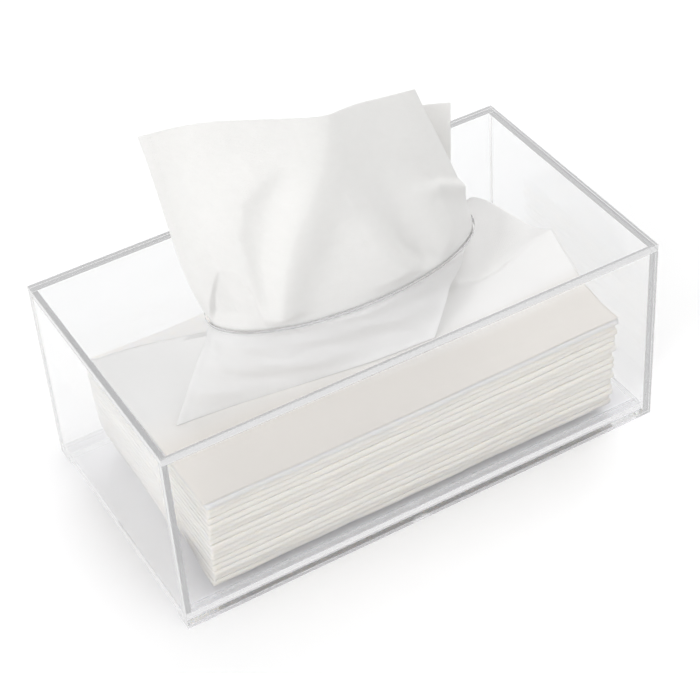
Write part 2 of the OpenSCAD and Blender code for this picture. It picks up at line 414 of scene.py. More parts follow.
def paper_material(name, colour, glow, crepe, dotted, parts=()):
    """Soft tissue paper: matt, a little light through it, fine crepe and faint cloudy fibres.

    The map's units are decimetres on the sheet. glow is the share of light that comes through,
    and a glow of 0 gives folded paper, in which light only scatters. dotted adds the rows of
    small pressed dots that hold the plies together near the left edge, and dims the glow below
    the slot. parts are stretches of another tone, which here paint shade and light: the map's
    axis, where the tone is full, where it has faded, the tone.
    """
    material = bpy.data.materials.new(name)
    material.use_nodes = True
    n = Nodes(material.node_tree)
    out = n.add("ShaderNodeOutputMaterial")
    place = n.add("ShaderNodeTexCoord").outputs["UV"]
    cloud = n.add(
        "ShaderNodeTexNoise", {"Vector": place, "Scale": 22.0, "Detail": 4.0, "Roughness": 0.6}
    ).outputs["Fac"]
    tone = (*colour, 1)
    # Stretches of painted shade and painted light over the paper's colour
    for axis, full, faded, other in parts:
        at = n.add("ShaderNodeSeparateXYZ", {0: place}).outputs[axis]
        tone = n.blend(n.ramp(at, full, faded, 1.0, 0.0), tone, (*other, 1))
    tone = n.blend(cloud, tone, (*FIBRE_TONE, 1), "MULTIPLY")
    lines = n.add(
        "ShaderNodeTexWave",
        {"Vector": place, "Scale": 55.0, "Distortion": 6.0, "Detail": 3.0, "Detail Scale": 2.5},
        bands_direction="Y",
    ).outputs["Fac"]
    height = n.maths("ADD", n.maths("MULTIPLY", lines, LINE_SHARE), cloud)
    if dotted:
        split = n.add("ShaderNodeSeparateXYZ", {0: place})
        height = n.maths("SUBTRACT", height, dots_height(n, split.outputs[0], split.outputs[1]))
    bump = n.add(
        "ShaderNodeBump", {"Height": height, "Distance": 0.0002, "Strength": crepe}
    ).outputs["Normal"]
    body = n.add(
        "ShaderNodeBsdfPrincipled",
        {
            "Base Color": tone,
            "Roughness": 0.95,
            "Specular IOR Level": 0.15,
            "Sheen Weight": 0.12,
            "Sheen Roughness": 0.6,
            "Normal": bump,
        },
    )
    if glow == 0.0:
        body.inputs["Subsurface Weight"].default_value = 0.6
        body.inputs["Subsurface Radius"].default_value = (1.0, 0.85, 0.65)
        body.inputs["Subsurface Scale"].default_value = 0.002
    else:
        if dotted:
            above = n.add("ShaderNodeSeparateXYZ", {0: place}).outputs[1]
            glow = n.ramp(above, UNDER_FADE, 0.0, UNDER_GLOW, glow)
        light = n.add("ShaderNodeBsdfTranslucent", {"Color": tone, "Normal": bump})
        body = n.add("ShaderNodeMixShader", {0: glow, 1: body.outputs[0], 2: light.outputs[0]})
    n.tree.links.new(body.outputs[0], out.inputs["Surface"])
    return material


DOT_ROWS = (0.0385, 0.0515)
DOT_STEP = 0.016
DOT_RADIUS = 0.0045
DOT_DEPTH = 1.5


def dots_height(n, across, up):
    """Depth of the pressed dots: rows at fixed distances from the sheet's left edge.

    A place is in a dot where it is nearer than the radius to the nearest dot's middle on its row.
    """
    total = None
    for row in DOT_ROWS:
        x = n.maths("SUBTRACT", across, row)
        y = n.maths("PINGPONG", up, DOT_STEP / 2)
        r = n.maths("SQRT", n.maths("ADD", n.maths("MULTIPLY", x, x), n.maths("MULTIPLY", y, y)))
        dot = n.maths("LESS_THAN", r, DOT_RADIUS)
        total = dot if total is None else n.maths("ADD", total, dot)
    return n.maths("MULTIPLY", total, DOT_DEPTH)


# ---- Casing ----


def box_part(low, high):
    """Corners and faces of a flat rectangular piece between two corners, faces outwards."""
    corners = [
        (x, y, z) for z in (low[2], high[2]) for y in (low[1], high[1]) for x in (low[0], high[0])
    ]
    faces = [(0, 2, 3, 1), (4, 5, 7, 6), (0, 1, 5, 4), (2, 6, 7, 3), (0, 4, 6, 2), (1, 3, 7, 5)]
    return corners, faces


def polish(obj, width):
    """A small rounding on the sharp edges."""
    bevel = obj.modifiers.new("edge_polish", "BEVEL")
    bevel.width = width
    bevel.segments = 2
    bevel.limit_method = "ANGLE"
    bevel.angle_limit = math.radians(40)
    bevel.harden_normals = False


def clear_piece(node, settings):
    """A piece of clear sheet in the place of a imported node, drawn in by half a seam all round."""
    low, high = corners_mm(node)
    inset = settings.seam / MM / 2
    points, faces = box_part(low + inset, high - inset)
    return mesh_object(node + "_clear", points, faces, smooth_faces=False)


SLOT_SIDES = 192


def top_piece(settings):
    """The top: for each direction from the middle, a point on the oval and one on the rectangle.

    The directions are the oval's own steps and the four corners, so the outline keeps its corners.
    """
    low, high = corners_mm("top_panel")
    inset = settings.seam / MM / 2
    low, high = low + inset, high - inset
    half_x, half_y = high[0], high[1]
    a, b = settings.slot_length / MM / 2, settings.slot_width / MM / 2
    corner = math.atan2(half_y / b, half_x / a)
    turns = np.concatenate(
        [
            np.linspace(0, 2 * math.pi, SLOT_SIDES, endpoint=False),
            [corner, math.pi - corner, math.pi + corner, 2 * math.pi - corner],
        ]
    )
    turns = np.sort(turns)
    inner = np.stack([a * np.cos(turns), b * np.sin(turns)], axis=1)
    reach = np.minimum(
        half_x / np.maximum(np.abs(inner[:, 0]), 1e-9), half_y / np.maximum(np.abs(inner[:, 1]), 1e-9)
    )
    outer = inner * reach[:, None]
    rings = [(inner, low[2]), (outer, low[2]), (outer, high[2]), (inner, high[2])]
    points = np.concatenate([np.column_stack([xy, np.full(len(xy), z)]) for xy, z in rings])
    count = len(turns)
    k = np.arange(count)
    after = (k + 1) % count
    faces = []
    for ring in range(4):
        here, there = ring * count, ((ring + 1) % 4) * count
        faces.append(np.stack([here + k, here + after, there + after, there + k], axis=1))
    return mesh_object("top_panel_clear", points, np.concatenate(faces), smooth_faces=False)


def finish_clear(obj, node, body, settings, material):
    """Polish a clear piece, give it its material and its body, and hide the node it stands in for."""
    polish(obj, settings.edge_round)
    set_material(obj, material)
    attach(obj, body)
    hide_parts(node)


# ---- Pile of folded tissues ----

LAYER_GAP = 0.3
SHEET_GAP = 0.05
PILE_FRONT_H = PILE_FRONT_TOP - PILE_FOOT
PILE_FALL = 3.3
PILE_BACK_H = PILE_FRONT_H - PILE_FALL
# A fold's nose is the cosine to this power: 1 is round, less is blunter
NOSE_POWER = 0.38
NOSE_STEPS = 20
FLAT_STEPS = 10
PILE_STATIONS = 120
# The layers fan out to the right: the top's rise, where it starts and the run it takes
FAN_RISE = 1.6
FAN_FROM = 10.0
FAN_REACH = 75.0
# The lowest tissues start further in at the left, towards the back, and are more ragged there
FOOT_INSET = 5.0
RAGGED_FOOT = 2.5
# How far the pile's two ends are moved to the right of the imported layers'
END_LEFT = 0.2
END_RIGHT = 0.6
PILE_SEED = 7
# The pile's top tissue is painted darker and greyer than the rest: painted shade, like that on the next
# tissue over it
TOP_LAYER_SHADE = (0.77, 0.76, 0.74)


def pile_h(y):
    """Height of the pile at y: a straight fall from the front fold to the back fold."""
    return lerp(PILE_FRONT_H, PILE_BACK_H, (y - FRONT_FOLD_Y) / (BACK_FOLD_Y - FRONT_FOLD_Y))


def pile_top(y):
    """Height of the pile's top over the table at y: the pile's foot and its height there."""
    return PILE_FOOT + pile_h(y)


def pile_swell(x, y, share):
    """How far the pile's layers lie above their plain planes: a fan at the right and slow waves."""
    waves = 0.2 * np.sin(2 * math.pi * x / 120 + 0.6) + 0.1 * np.sin(
        2 * math.pi * (x + 0.6 * y) / 53 + 2.1 * share
    )
    return share * (FAN_RISE * smooth((x - FAN_FROM) / FAN_REACH) + waves)


def layer_part(layer, settings, draw):
    """One folded tissue: a flat wedge with a round fold in front and behind, carried along the box.

    Fine grooves run along each fold, where its plies part. The folds and the cut ends wander by
    small waves, the left ends of the lowest tissues most. Each wave is a sine along the fold or
    the cut, with a phase that is drawn for each tissue.
    """
    low, high = corners_mm(LAYER_NODES[layer])
    gap = SHEET_GAP / PILE_FRONT_H
    pitch = (1 + LAYER_GAP / PILE_FRONT_H) / len(LAYER_NODES)
    bottom_share = layer * pitch
    top_share = (layer + 1) * pitch - gap
    x_share = np.linspace(0, 1, PILE_STATIONS)[:, None]
    turn = np.linspace(-90, 90, NOSE_STEPS + 1)
    sine, cosine = np.sin(np.radians(turn)), np.cos(np.radians(turn))
    flat = np.linspace(0, 1, FLAT_STEPS + 1)[1:-1]
    none = np.zeros(flat.size)
    # Round the profile: share of the way to the front, level within the tissue, outward bulge
    side = np.concatenate([np.ones(turn.size), 1 - flat, np.zeros(turn.size), flat])
    level = np.concatenate([(1 + sine) / 2, none + 1, (1 - sine) / 2, none])
    bulge = np.concatenate([-(cosine**NOSE_POWER), none, cosine**NOSE_POWER, none])
    grooved = np.concatenate([turn, none + 90, turn, none + 90]) / 180 + 0.5
    phases = draw.uniform(0, 2 * math.pi, 8)
    x = lerp(PILE_LOW[0], high[0], x_share)
    depth = settings.groove / MM * (
        0.6 + 0.25 * np.sin(2 * math.pi * x / 47 + phases[0]) + 0.15 * np.sin(x / 3.1 + phases[1])
    )
    plies = settings.plies
    groove = depth * np.cos(math.pi * plies * grooved) ** 2 * (np.abs(bulge) > 0.05)
    radius = (top_share - bottom_share) * PILE_FRONT_H / 2
    front = low[1] + radius + 0.2 * np.sin(2 * math.pi * x / 83 + phases[2])
    front = front + 0.1 * np.sin(2 * math.pi * x / 31 + phases[3])
    back = high[1] - radius + 0.25 * np.sin(2 * math.pi * x / 71 + phases[4])
    y = lerp(back, front, side) + (radius - groove) * bulge
    bottom = PILE_FOOT + bottom_share * pile_h(y)
    top = PILE_FOOT + top_share * pile_h(y)
    z = lerp(bottom, top, level) + pile_swell(x, y, (bottom_share + top_share) / 2)
    ragged = settings.ragged / MM * (1 + RAGGED_FOOT * math.exp(-layer / 1.2))
    cut_left = ragged * np.sin(y / 7.0 + phases[5]) + 0.5 * ragged * np.sin(y / 2.6 + phases[6])
    cut_left = cut_left + FOOT_INSET * math.exp(-layer / 2.2) * smooth((y + 48) / 55)
    cut_right = ragged * np.sin(y / 9.0 + phases[7])
    x = x + (END_LEFT + cut_left) * (1 - x_share) + (END_RIGHT - cut_right) * x_share
    points = np.stack([x + 0 * y, y, z], axis=-1)
    stations, places = points.shape[:2]
    here = np.arange(stations - 1)[:, None] * places + np.arange(places)
    beside = np.arange(stations - 1)[:, None] * places + np.roll(np.arange(places), -1)
    faces = np.stack([here, here + places, beside + places, beside], axis=-1).reshape(-1, 4).tolist()
    faces.append(list(range(places)))
    faces.append([(stations - 1) * places + k for k in range(places)][::-1])
    girth = np.cumsum(np.r_[0, np.hypot(np.diff(y[0]), np.diff(z[0]))])
    along = np.broadcast_to(girth / 100 + layer * 0.37, y.shape)
    return points, faces, np.stack([points[..., 0] / 100, along], axis=-1)


# ---- Next tissue ----

# Where it is gathered in the slot: the right end's place on the oval, and how far it runs from there
NEXT_INSET = 2.0
NEXT_ANGLE = 17.0
NEXT_GATHER = 36.0
NEXT_TURN = 5.4
# A pair is a value at the tissue's left end and one at its right end
END_SLIP = (-0.8, 0.8)
LAY_H = 0.6
CREST_Y = (-14.0, -28.5)
CREST_SWELL_Y = 10.0
CREST_H = (0.9, 3.3)
CREST_MID_H = 4.3
SHOULDER_Y = (46.5, -8.0)
SHOULDER_SWELL_Y = 4.0
SHOULDER_GAP = 0.3
SHOULDER_H = 17.6
LIFT_MID = 0.28
TIP_X = (-5.4, 4.5)
TIP_Y = (4.5, 4.9)
TIP_RISE = (58.0, 47.3)
FRONT_FLAT = (0.12, 0.42)
EDGE_GAP = 0.9
HOLLOW_SHARE = 0.36
EDGE_BOW = 10.5
NEXT_PLACES = 200
NEXT_ROWS = 201
NEXT_PASSES = 6
NEXT_GLOW = 0.15
# The map's decimetres for the whole length, and for each part from one guide row to the next
NEXT_MAP = (1.88, 0.5)
# Painted shade on the next tissue: darker over its left third, and darker and warmer down its front slope
# to the crest; each is the map's axis, where the tone is full, where it has faded, the tone
NEXT_SHADE_PARTS = ((0, 0.0, 0.62, (0.83, 0.825, 0.81)), (1, 0.40, 0.62, (0.83, 0.795, 0.745)))


def slot_point(settings, angle, inset):
    """A point of the oval that lies inset millimetres inside the slot's edge, for an angle in degrees."""
    a, b = settings.slot_length / MM / 2 - inset, settings.slot_width / MM / 2 - inset
    return a * np.cos(np.radians(angle)), b * np.sin(np.radians(angle))


def crest_rise(u):
    """Rise of the crest above the pile along its length: a straight rise and a swell in the middle."""
    return lerp(*CREST_H, u) + CREST_MID_H * bell((u - 0.5) / 0.55)


def next_rows(u, casing):
    """Guide rows of the next tissue from its left end, u = 0, to its right end, u = 1.

    Front fold, crest, shoulder, slot and upper edge, each a point for every u. The shoulder lies
    flat at the left and is lifted at the right, most at its corner.
    """
    length = PILE_HIGH[0] - PILE_LOW[0]
    middle = (PILE_HIGH[0] + PILE_LOW[0]) / 2
    x = middle + length * (u - 0.5) + lerp(*END_SLIP, u)
    front = np.stack([x, FRONT_FOLD_Y + 0 * u, pile_top(FRONT_FOLD_Y) + LAY_H + 0 * u], axis=-1)
    y = lerp(*CREST_Y, u) - CREST_SWELL_Y * bell((u - 0.55) / 0.5)
    crest = np.stack([x, y, pile_top(y) + crest_rise(u)], axis=-1)
    y = lerp(*SHOULDER_Y, smooth(u * 1.15 + 0.02)) - SHOULDER_SWELL_Y * bell((u - 0.83) / 0.15)
    lift = LIFT_MID * smooth((u - 0.3) / 0.4)
    lift = lift + (1 - LIFT_MID) * np.clip((u - 0.714) / 0.286, 0, 1) ** 1.15
    rise = lerp(LAY_H + SHOULDER_GAP, SHOULDER_H, lift)
    shoulder = np.stack([x, y, pile_top(y) + rise], axis=-1)
    right_x, right_y = slot_point(casing, NEXT_ANGLE, NEXT_INSET)
    slot = np.stack(
        [right_x - NEXT_GATHER * (1 - u), right_y + NEXT_TURN * (1 - u), CEILING + 0 * u], axis=-1
    )
    tip_rise = BOX_H - CEILING + lerp(*TIP_RISE, u)
    tip = slot + np.stack([lerp(*TIP_X, u), lerp(*TIP_Y, u), tip_rise], axis=-1)
    return front, crest, shoulder, slot, tip


def next_rise(u, t, shoulder, slot):
    """From the shoulder to the slot: low until it is near the slot, but its right edge rises at once.

    That edge runs close under the top, and a hollow lies between it and the shoulder.
    """
    edge = smooth((u - 0.78) / 0.22)
    point = shoulder + (slot - shoulder) * t[..., None]
    share = t ** (5 - 2.8 * bell((u - 0.66) / 0.3))
    rise = [end[..., 2] - pile_top(end[..., 1]) for end in (shoulder, slot)]
    low = pile_top(point[..., 1]) + lerp(rise[0], rise[1], share)
    high = lerp(shoulder[..., 2], slot[..., 2] - EDGE_GAP, smooth(t / 0.75)) + EDGE_GAP * t**8
    hollow = HOLLOW_SHARE * SHOULDER_H * bell((u - 0.88) / 0.12) * bell((t - 0.25) / 0.25)
    point[..., 2] = lerp(low, high, edge) - hollow
    point[..., 1] += EDGE_BOW * edge * smooth((t - 0.15) / 0.35) * (1 - smooth((t - 0.6) / 0.4))
    return point


def next_surface(u, v, casing):
    """The next tissue between its guide rows: straight from row to row but for two of its parts.

    From the front fold it lies flat for a while, then rises to the crest by a quarter sine to the
    power 1.5. From the shoulder to the slot it follows next_rise. The pile's swell is added, and
    fades out on the way to the shoulder.
    v runs 0 to 1 from the front fold to the crest, to 2 at the shoulder, 3 in the slot, 4 at the tip.
    """
    rows = next_rows(u, casing)
    part = np.clip(np.floor(v).astype(int), 0, 3)
    t = v - part
    pieces = [rows[k] + (rows[k + 1] - rows[k]) * t[..., None] for k in range(4)]
    flat = lerp(*FRONT_FLAT, u)
    roll = np.sin(np.clip((t - flat) / (1 - flat), 0, 1) * math.pi / 2) ** 1.5
    pieces[0][..., 2] = lerp(rows[0][..., 2], rows[1][..., 2], roll)
    pieces[2] = next_rise(u, np.clip(t, 0, 1), rows[2], rows[3])
    out = np.choose(part[..., None], pieces)
    out[..., 2] += pile_swell(out[..., 0], out[..., 1], 1.0) * (1 - smooth((v - 0.8) / 1.2))
    return out


# ---- Pulled tissue ----

PULL_INSET = 0.75
PULL_ACROSS = 140.0
PULL_UP = 90.0
PULL_FROM, PULL_TO = 180.0, 350.0
UPPER_EDGE = ((-74, 8, 87), (-53, -4, 91.8), (-30, -12, 88.7), (-11.4, -12, 83.7), (41.6, 8, 62.8))
LOWER_PLACES = ((-84, -11.5), (-60, -15.5), (-30, -22.5), (0, -28), (24, -29))
REST_GAP = 0.45
# How far the side edges bow, in mm, and what brings the bow's cubic to 1 at its highest
BOW_LEFT = 2.6
BOW_RIGHT = 1.6
BOW_PEAK = 0.148
# As shares of the sheet: the rounding of the corners in its lower and upper edge, the run over
# which folds begin at the slot, and those over which streaks begin there and end at the lower edge
UNDER_ROUND = 0.08
OVER_ROUND = 0.05
FOLD_START = 0.08
STREAK_START = 0.15
STREAK_END = 0.3
PULL_PLACES = 220
PULL_ROWS_UNDER = 60
PULL_ROWS_OVER = 141
PULL_PASSES = 2
PULL_GLOW = 0.3
# Keeps the last row under the top apart from the first row over it
ROW_SPLIT = 1e-6
# Streaks of the part below the slot: length in mm, turn in degrees, height in mm, phase
UNDER_WAVES = ((41, 40, 0.7, 0.4), (26, 66, 0.35, 1.9), (11, 48, 0.07, 4.0))
# Main folds: height in mm, sharpness and the chain it follows, in mm across and up the sheet
PULL_CREASES = (
    (7.0, 0.25, ((41, 2, 0.8, 7, 7), (46, 25, 1, 8, 10), (51, 40, 1, 9, 13), (59, 55, 1, 11, 16),
                 (65, 65, 0.9, 13, 17), (76, 89, 0.7, 15, 18))),
    (2.7, 0.0, ((34.5, 5, 0.3, 6, 3), (33, 28, 0.9, 9, 4), (32, 44, 1, 11, 4.5), (36, 58, 1, 11, 5),
                (44, 66, 0.8, 11, 5), (52, 71, 0.1, 10, 5))),
    (-1.7, 0.0, ((38, 12, 0.5, 3, 3), (42, 36, 1, 4.5, 4), (47, 51, 1, 5, 4), (50, 59, 0.8, 5, 4),
                 (55, 70, 0.1, 5, 4))),
    (-2.0, 0.0, ((23, 14, 0.6, 7, 5), (20, 28, 0.9, 7, 6), (16, 35, 1, 8, 7), (12, 44, 1, 9, 9),
                 (11, 66, 0.8, 9, 9), (15, 85, 0.5, 9, 9))),
    (3.4, 0.0, ((93, 4, 0.7, 12, 3), (87, 9, 1, 13, 3.5), (83, 20, 1, 12, 4), (79, 31, 0.9, 9, 6),
                (76, 43, 0.4, 7, 10))),
    (-2.5, 0.0, ((97, 3, 0.8, 3, 5), (93, 14, 1, 4, 6), (91, 28, 0.9, 5, 6), (93, 42, 0.5, 8, 7))),
    (2.2, 0.0, ((107, 4, 0.7, 6, 5), (110, 15, 1, 8, 5), (109, 33, 1, 8, 6), (103, 45, 0.5, 7, 8))),
    (2.0, 0.0, ((107, 39, 0.3, 3, 5), (120, 35, 1, 3, 6), (138, 24, 1, 3, 6))),
    (1.5, 0.0, ((116, 48, 0.5, 10, 12), (112, 66, 1, 10, 14), (118, 84, 0.7, 10, 14))),
    (-1.4, 1.0, ((95, 4, 1, 2, 1.2), (90, 7, 0.6, 2, 1.2), (84, 17, 0.2, 2, 1.5))),
)
# Outline of a fold that is turned in, in mm across and up the sheet, and its depth in mm
FLAP = ((20.8, 27.7), (29.0, 27.5), (33.5, 18.0), (35.5, 0.0), (3.0, -2.0))
FLAP_DEPTH = 3.4
# Painted tones of the part below the slot: painted shade at its left, fading out to the right, and
# painted light over the rest of it, lighter than the paper over the slot
UNDER_LEFT_SHADE = (0, 0.0, 0.5, (0.90, 0.895, 0.88))
UNDER_PAINTED_LIGHT = (0.995, 0.99, 0.98)


def flap_relief(x, y):
    """A fold that is turned in at the left of the slot: it sinks towards the slot within its outline."""
    inside = np.full_like(x, np.inf)
    corners = FLAP + FLAP[:1]
    for (ax, ay), (bx, by) in zip(corners[:-1], corners[1:]):
        length = math.hypot(bx - ax, by - ay)
        inside = np.minimum(inside, ((y - ay) * (bx - ax) - (x - ax) * (by - ay)) / -length)
    top = FLAP[0][1]
    return -FLAP_DEPTH * smooth(inside / 1.6 + 0.3) * np.clip((top - y) / top, 0, 1) ** 0.7


def pulled_base(u, w, casing):
    """The pulled tissue without its folds, straight from its lower edge to the slot and on up.

    Over the slot its two side edges bow outwards, by a cubic that is 0 at the slot and at the
    upper edge.
    """
    x, y = slot_point(casing, lerp(PULL_FROM, PULL_TO, u), PULL_INSET)
    foot = np.stack([x, y, CEILING + 0 * u], axis=-1)
    lip = np.stack([x, y, BOX_H + 0 * u], axis=-1)
    length = PILE_HIGH[0] - PILE_LOW[0]
    edge = [(x, y, crest_rise(x / length + 0.5) + REST_GAP) for x, y in LOWER_PLACES]
    under = round_path(edge, u, UNDER_ROUND)
    under[..., 2] += pile_top(under[..., 1])
    over = round_path(UPPER_EDGE, u, OVER_ROUND) + [0, 0, BOX_H]
    up = np.clip(w, 0, 1)[..., None]
    down = np.clip(-w, 0, 1)[..., None]
    bow = (up * (1 - up) ** 2 / BOW_PEAK)[..., 0] * (BOW_RIGHT * u**3 - BOW_LEFT * (1 - u) ** 3)
    above = lip + (over - lip) * up
    above[..., 0] += bow
    below = foot + (under - foot) * down
    return np.where((w >= 0)[..., None], above, below)


def surface_normals(points):
    """Unit normals of a grid of points, from its neighbours along both ways."""
    along = np.gradient(points, axis=1)
    up = np.gradient(points, axis=0)
    normal = np.cross(along, up)
    return normal / np.linalg.norm(normal, axis=-1, keepdims=True)


def soften(points, passes):
    """Evens a grid of points a little along both ways, with its border held."""
    for _ in range(passes):
        inner = points[1:-1, 1:-1]
        mean = points[:-2, 1:-1] + points[2:, 1:-1] + points[1:-1, :-2] + points[1:-1, 2:]
        points[1:-1, 1:-1] = inner * 0.5 + mean * 0.125
    return points


def thin_sheet(name, grid, uv, settings, material):
    """A loose tissue from a grid of points, with half its thickness on each side of the grid."""
    rows, places = grid.shape[:2]
    obj = mesh_object(name, grid, grid_faces(rows, places), uv)
    solid = obj.modifiers.new("thickness", "SOLIDIFY")
    solid.thickness = settings.thickness
    solid.offset = 0
    set_material(obj, material)
    return obj


# ---- Operators ----


class TISSUEBOX_OT_casing(Operator):
    """Make the clear panels of the casing and its two ledges"""

    bl_idname = "tissuebox.casing"
    bl_label = "Casing"

    def execute(self, context):
        settings = context.scene.tissue_casing
        material = clear_material("clear_sheet", settings, CASING_PASSES, CASING_GUIDED)
        top = top_piece(settings)
        finish_clear(top, "top_panel", CASING_BODY, settings, material)
        top.data.materials.append(cut_material())
        slot_wall = np.repeat([0, 0, 0, 1], len(top.data.polygons) // 4)
        top.data.polygons.foreach_set("material_index", slot_wall)
        for node in (
            "front_wall",
            "back_wall",
            "left_end_wall",
            "right_end_wall",
            "front_ledge",
            "back_ledge",
        ):
            finish_clear(clear_piece(node, settings), node, CASING_BODY, settings, material)
        return {"FINISHED"}


class TISSUEBOX_OT_sliding_base(Operator):
    """Make the clear plate that slides out"""

    bl_idname = "tissuebox.sliding_base"
    bl_label = "Sliding base"

    def execute(self, context):
        settings = context.scene.tissue_casing
        material = clear_material("base_sheet", settings, BASE_PASSES, BASE_GUIDED)
        obj = clear_piece("sliding_base", settings)
        finish_clear(obj, "sliding_base", BASE_BODY, settings, material)
        return {"FINISHED"}


class TISSUEBOX_OT_pile(Operator):
    """Make the pile of folded tissues, one piece for each packed layer"""

    bl_idname = "tissuebox.pile"
    bl_label = "Pile"

    def execute(self, context):
        settings = context.scene.tissue_pile
        material = paper_material("folded_paper", settings.colour, 0.0, FOLDED_CREPE, False)
        # The top tissue's material carries painted shade
        top_shaded_material = paper_material("top_paper_shaded", TOP_LAYER_SHADE, 0.0, FOLDED_CREPE, False)
        draw = np.random.default_rng(PILE_SEED)
        for layer, node in enumerate(LAYER_NODES):
            points, faces, uv = layer_part(layer, settings, draw)
            obj = mesh_object(node + "_folded", points, faces, uv)
            set_material(obj, top_shaded_material if node == LAYER_NODES[-1] else material)
            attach(obj, CASING_BODY)
            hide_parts(node)
        return {"FINISHED"}


class TISSUEBOX_OT_next_tissue(Operator):
    """Make the next tissue, lifted from the pile and led through the slot"""

    bl_idname = "tissuebox.next_tissue"
    bl_label = "Next tissue"

    def execute(self, context):
        settings = context.scene.tissue_loose
        casing = context.scene.tissue_casing
        u, v = np.meshgrid(np.linspace(0, 1, NEXT_PLACES), np.linspace(0, 4, NEXT_ROWS))
        grid = soften(next_surface(u, v, casing), NEXT_PASSES)
        uv = np.stack([u * NEXT_MAP[0], v * NEXT_MAP[1]], axis=-1)
        material = paper_material(
            "next_paper", settings.next_colour, NEXT_GLOW, LOOSE_CREPE, False, NEXT_SHADE_PARTS
        )
        obj = thin_sheet("next_tissue_sheet", grid, uv, settings, material)
        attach(obj, CASING_BODY)
        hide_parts("next_tissue")
        return {"FINISHED"}


class TISSUEBOX_OT_pulled_tissue(Operator):
    """Make the tissue that stands drawn up through the slot"""

    bl_idname = "tissuebox.pulled_tissue"
    bl_label = "Pulled tissue"

    def execute(self, context):
        settings = context.scene.tissue_loose
        casing = context.scene.tissue_casing
        below = np.linspace(-1, 0, PULL_ROWS_UNDER)
        above = np.linspace(0, 1, PULL_ROWS_OVER)
        rows = np.concatenate([below - ROW_SPLIT, above])
        u, w = np.meshgrid(np.linspace(0, 1, PULL_PLACES), rows)
        grid = pulled_base(u, w, casing)
        across, up = u * PULL_ACROSS, w * PULL_UP
        relief = crease_relief(across, up, PULL_CREASES) * settings.fold_share
        relief = (relief + flap_relief(across, up)) * smooth(w / FOLD_START)
        streaks = ripple(across, up, UNDER_WAVES) * settings.fold_share
        relief = relief + streaks * smooth(-w / STREAK_START) * smooth((1 + w) / STREAK_END)
        grid = grid + surface_normals(grid) * relief[..., None]
        grid = soften(grid, PULL_PASSES)
        uv = np.stack([u * PULL_ACROSS / 100, w * PULL_UP / 100], axis=-1)
        # Below the slot the paper is painted lighter, with painted shade at its left
        parts = (UNDER_LEFT_SHADE, (1, 0.0, UNDER_FADE, settings.colour))
        material = paper_material("pulled_paper", UNDER_PAINTED_LIGHT, PULL_GLOW, LOOSE_CREPE, True, parts)
        obj = thin_sheet("pulled_tissue_sheet", grid, uv, settings, material)
        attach(obj, CASING_BODY)
        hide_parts("pulled_tissue")
        return {"FINISHED"}


# ---- Stage ----

CAMERA_PLACE = (-0.28861, -0.55612, 0.58485)
CAMERA_AIM = (0.0051, 0.0078, 0.045)
CAMERA_ROLL = -4.457
CAMERA_LENS = 103.71
SENSOR = 36.0
# The floor's lift to white: it starts and ends this far from the object, in metres
LIFT_FROM, LIFT_TO = 0.9, 2.5
LIFT_NEAR, LIFT_FAR = 0.05, 0.6
# The room's white as it is seen, level and from ROOM_TOP of a direction's rise, and the light
# that it gives, level and straight up
ROOM_TOP = 0.5
ROOM_LEVEL, ROOM_HIGH = 0.5, 0.96
SKY_LEVEL, SKY_HIGH = 0.56, 0.84


def stage_camera():
    """The camera at the photograph's place. Its roll turns right and up about the line of sight."""
    data = bpy.data.cameras.new("camera")
    data.lens = CAMERA_LENS
    data.sensor_width = SENSOR
    place, aim = Vector(CAMERA_PLACE), Vector(CAMERA_AIM)
    ahead = (aim - place).normalized()
    level = ahead.cross(Vector((0, 0, 1))).normalized()
    above = level.cross(ahead)
    roll = math.radians(CAMERA_ROLL)
    right = level * math.cos(roll) + above * math.sin(roll)
    up = above * math.cos(roll) - level * math.sin(roll)
    camera = bpy.data.objects.new("camera", data)
    turn = Matrix((right, up, -ahead)).transposed().to_4x4()
    camera.matrix_world = Matrix.Translation(place) @ turn
    bpy.context.scene.collection.objects.link(camera)
    bpy.context.scene.camera = camera


def seen_rays(n):
    """1 for rays that show the stage itself: from the camera, from a gloss or through clear sheet."""
    path = n.add("ShaderNodeLightPath")
    glossy = n.maths("MAXIMUM", path.outputs["Is Camera Ray"], path.outputs["Is Glossy Ray"])
    return n.maths("MAXIMUM", glossy, path.outputs["Is Transmission Ray"])


def stage_floor(settings):
    """A plain pale floor that keeps the object's shadow and runs out to white far away."""
    half = settings.floor_size / 2 / MM
    points = [(-half, -half, 0), (half, -half, 0), (half, half, 0), (-half, half, 0)]
    floor = mesh_object("floor", points, [(0, 1, 2, 3)])
    material = bpy.data.materials.new("floor_white")
    material.use_nodes = True
    n = Nodes(material.node_tree)
    out = n.add("ShaderNodeOutputMaterial")
    matt = n.add("ShaderNodeBsdfDiffuse", {"Color": (*settings.floor_colour, 1)})
    place = n.add("ShaderNodeTexCoord").outputs["Object"]
    away = n.add("ShaderNodeVectorMath", {0: place}, operation="LENGTH").outputs["Value"]
    share = n.ramp(away, LIFT_FROM, LIFT_TO, LIFT_NEAR, LIFT_FAR)
    strength = n.maths("MULTIPLY", seen_rays(n), share)
    lift = n.add("ShaderNodeEmission", {"Color": (1, 1, 1, 1), "Strength": strength})
    both = n.add("ShaderNodeAddShader", {0: matt.outputs[0], 1: lift.outputs[0]})
    n.tree.links.new(both.outputs[0], out.inputs["Surface"])
    set_material(floor, material)


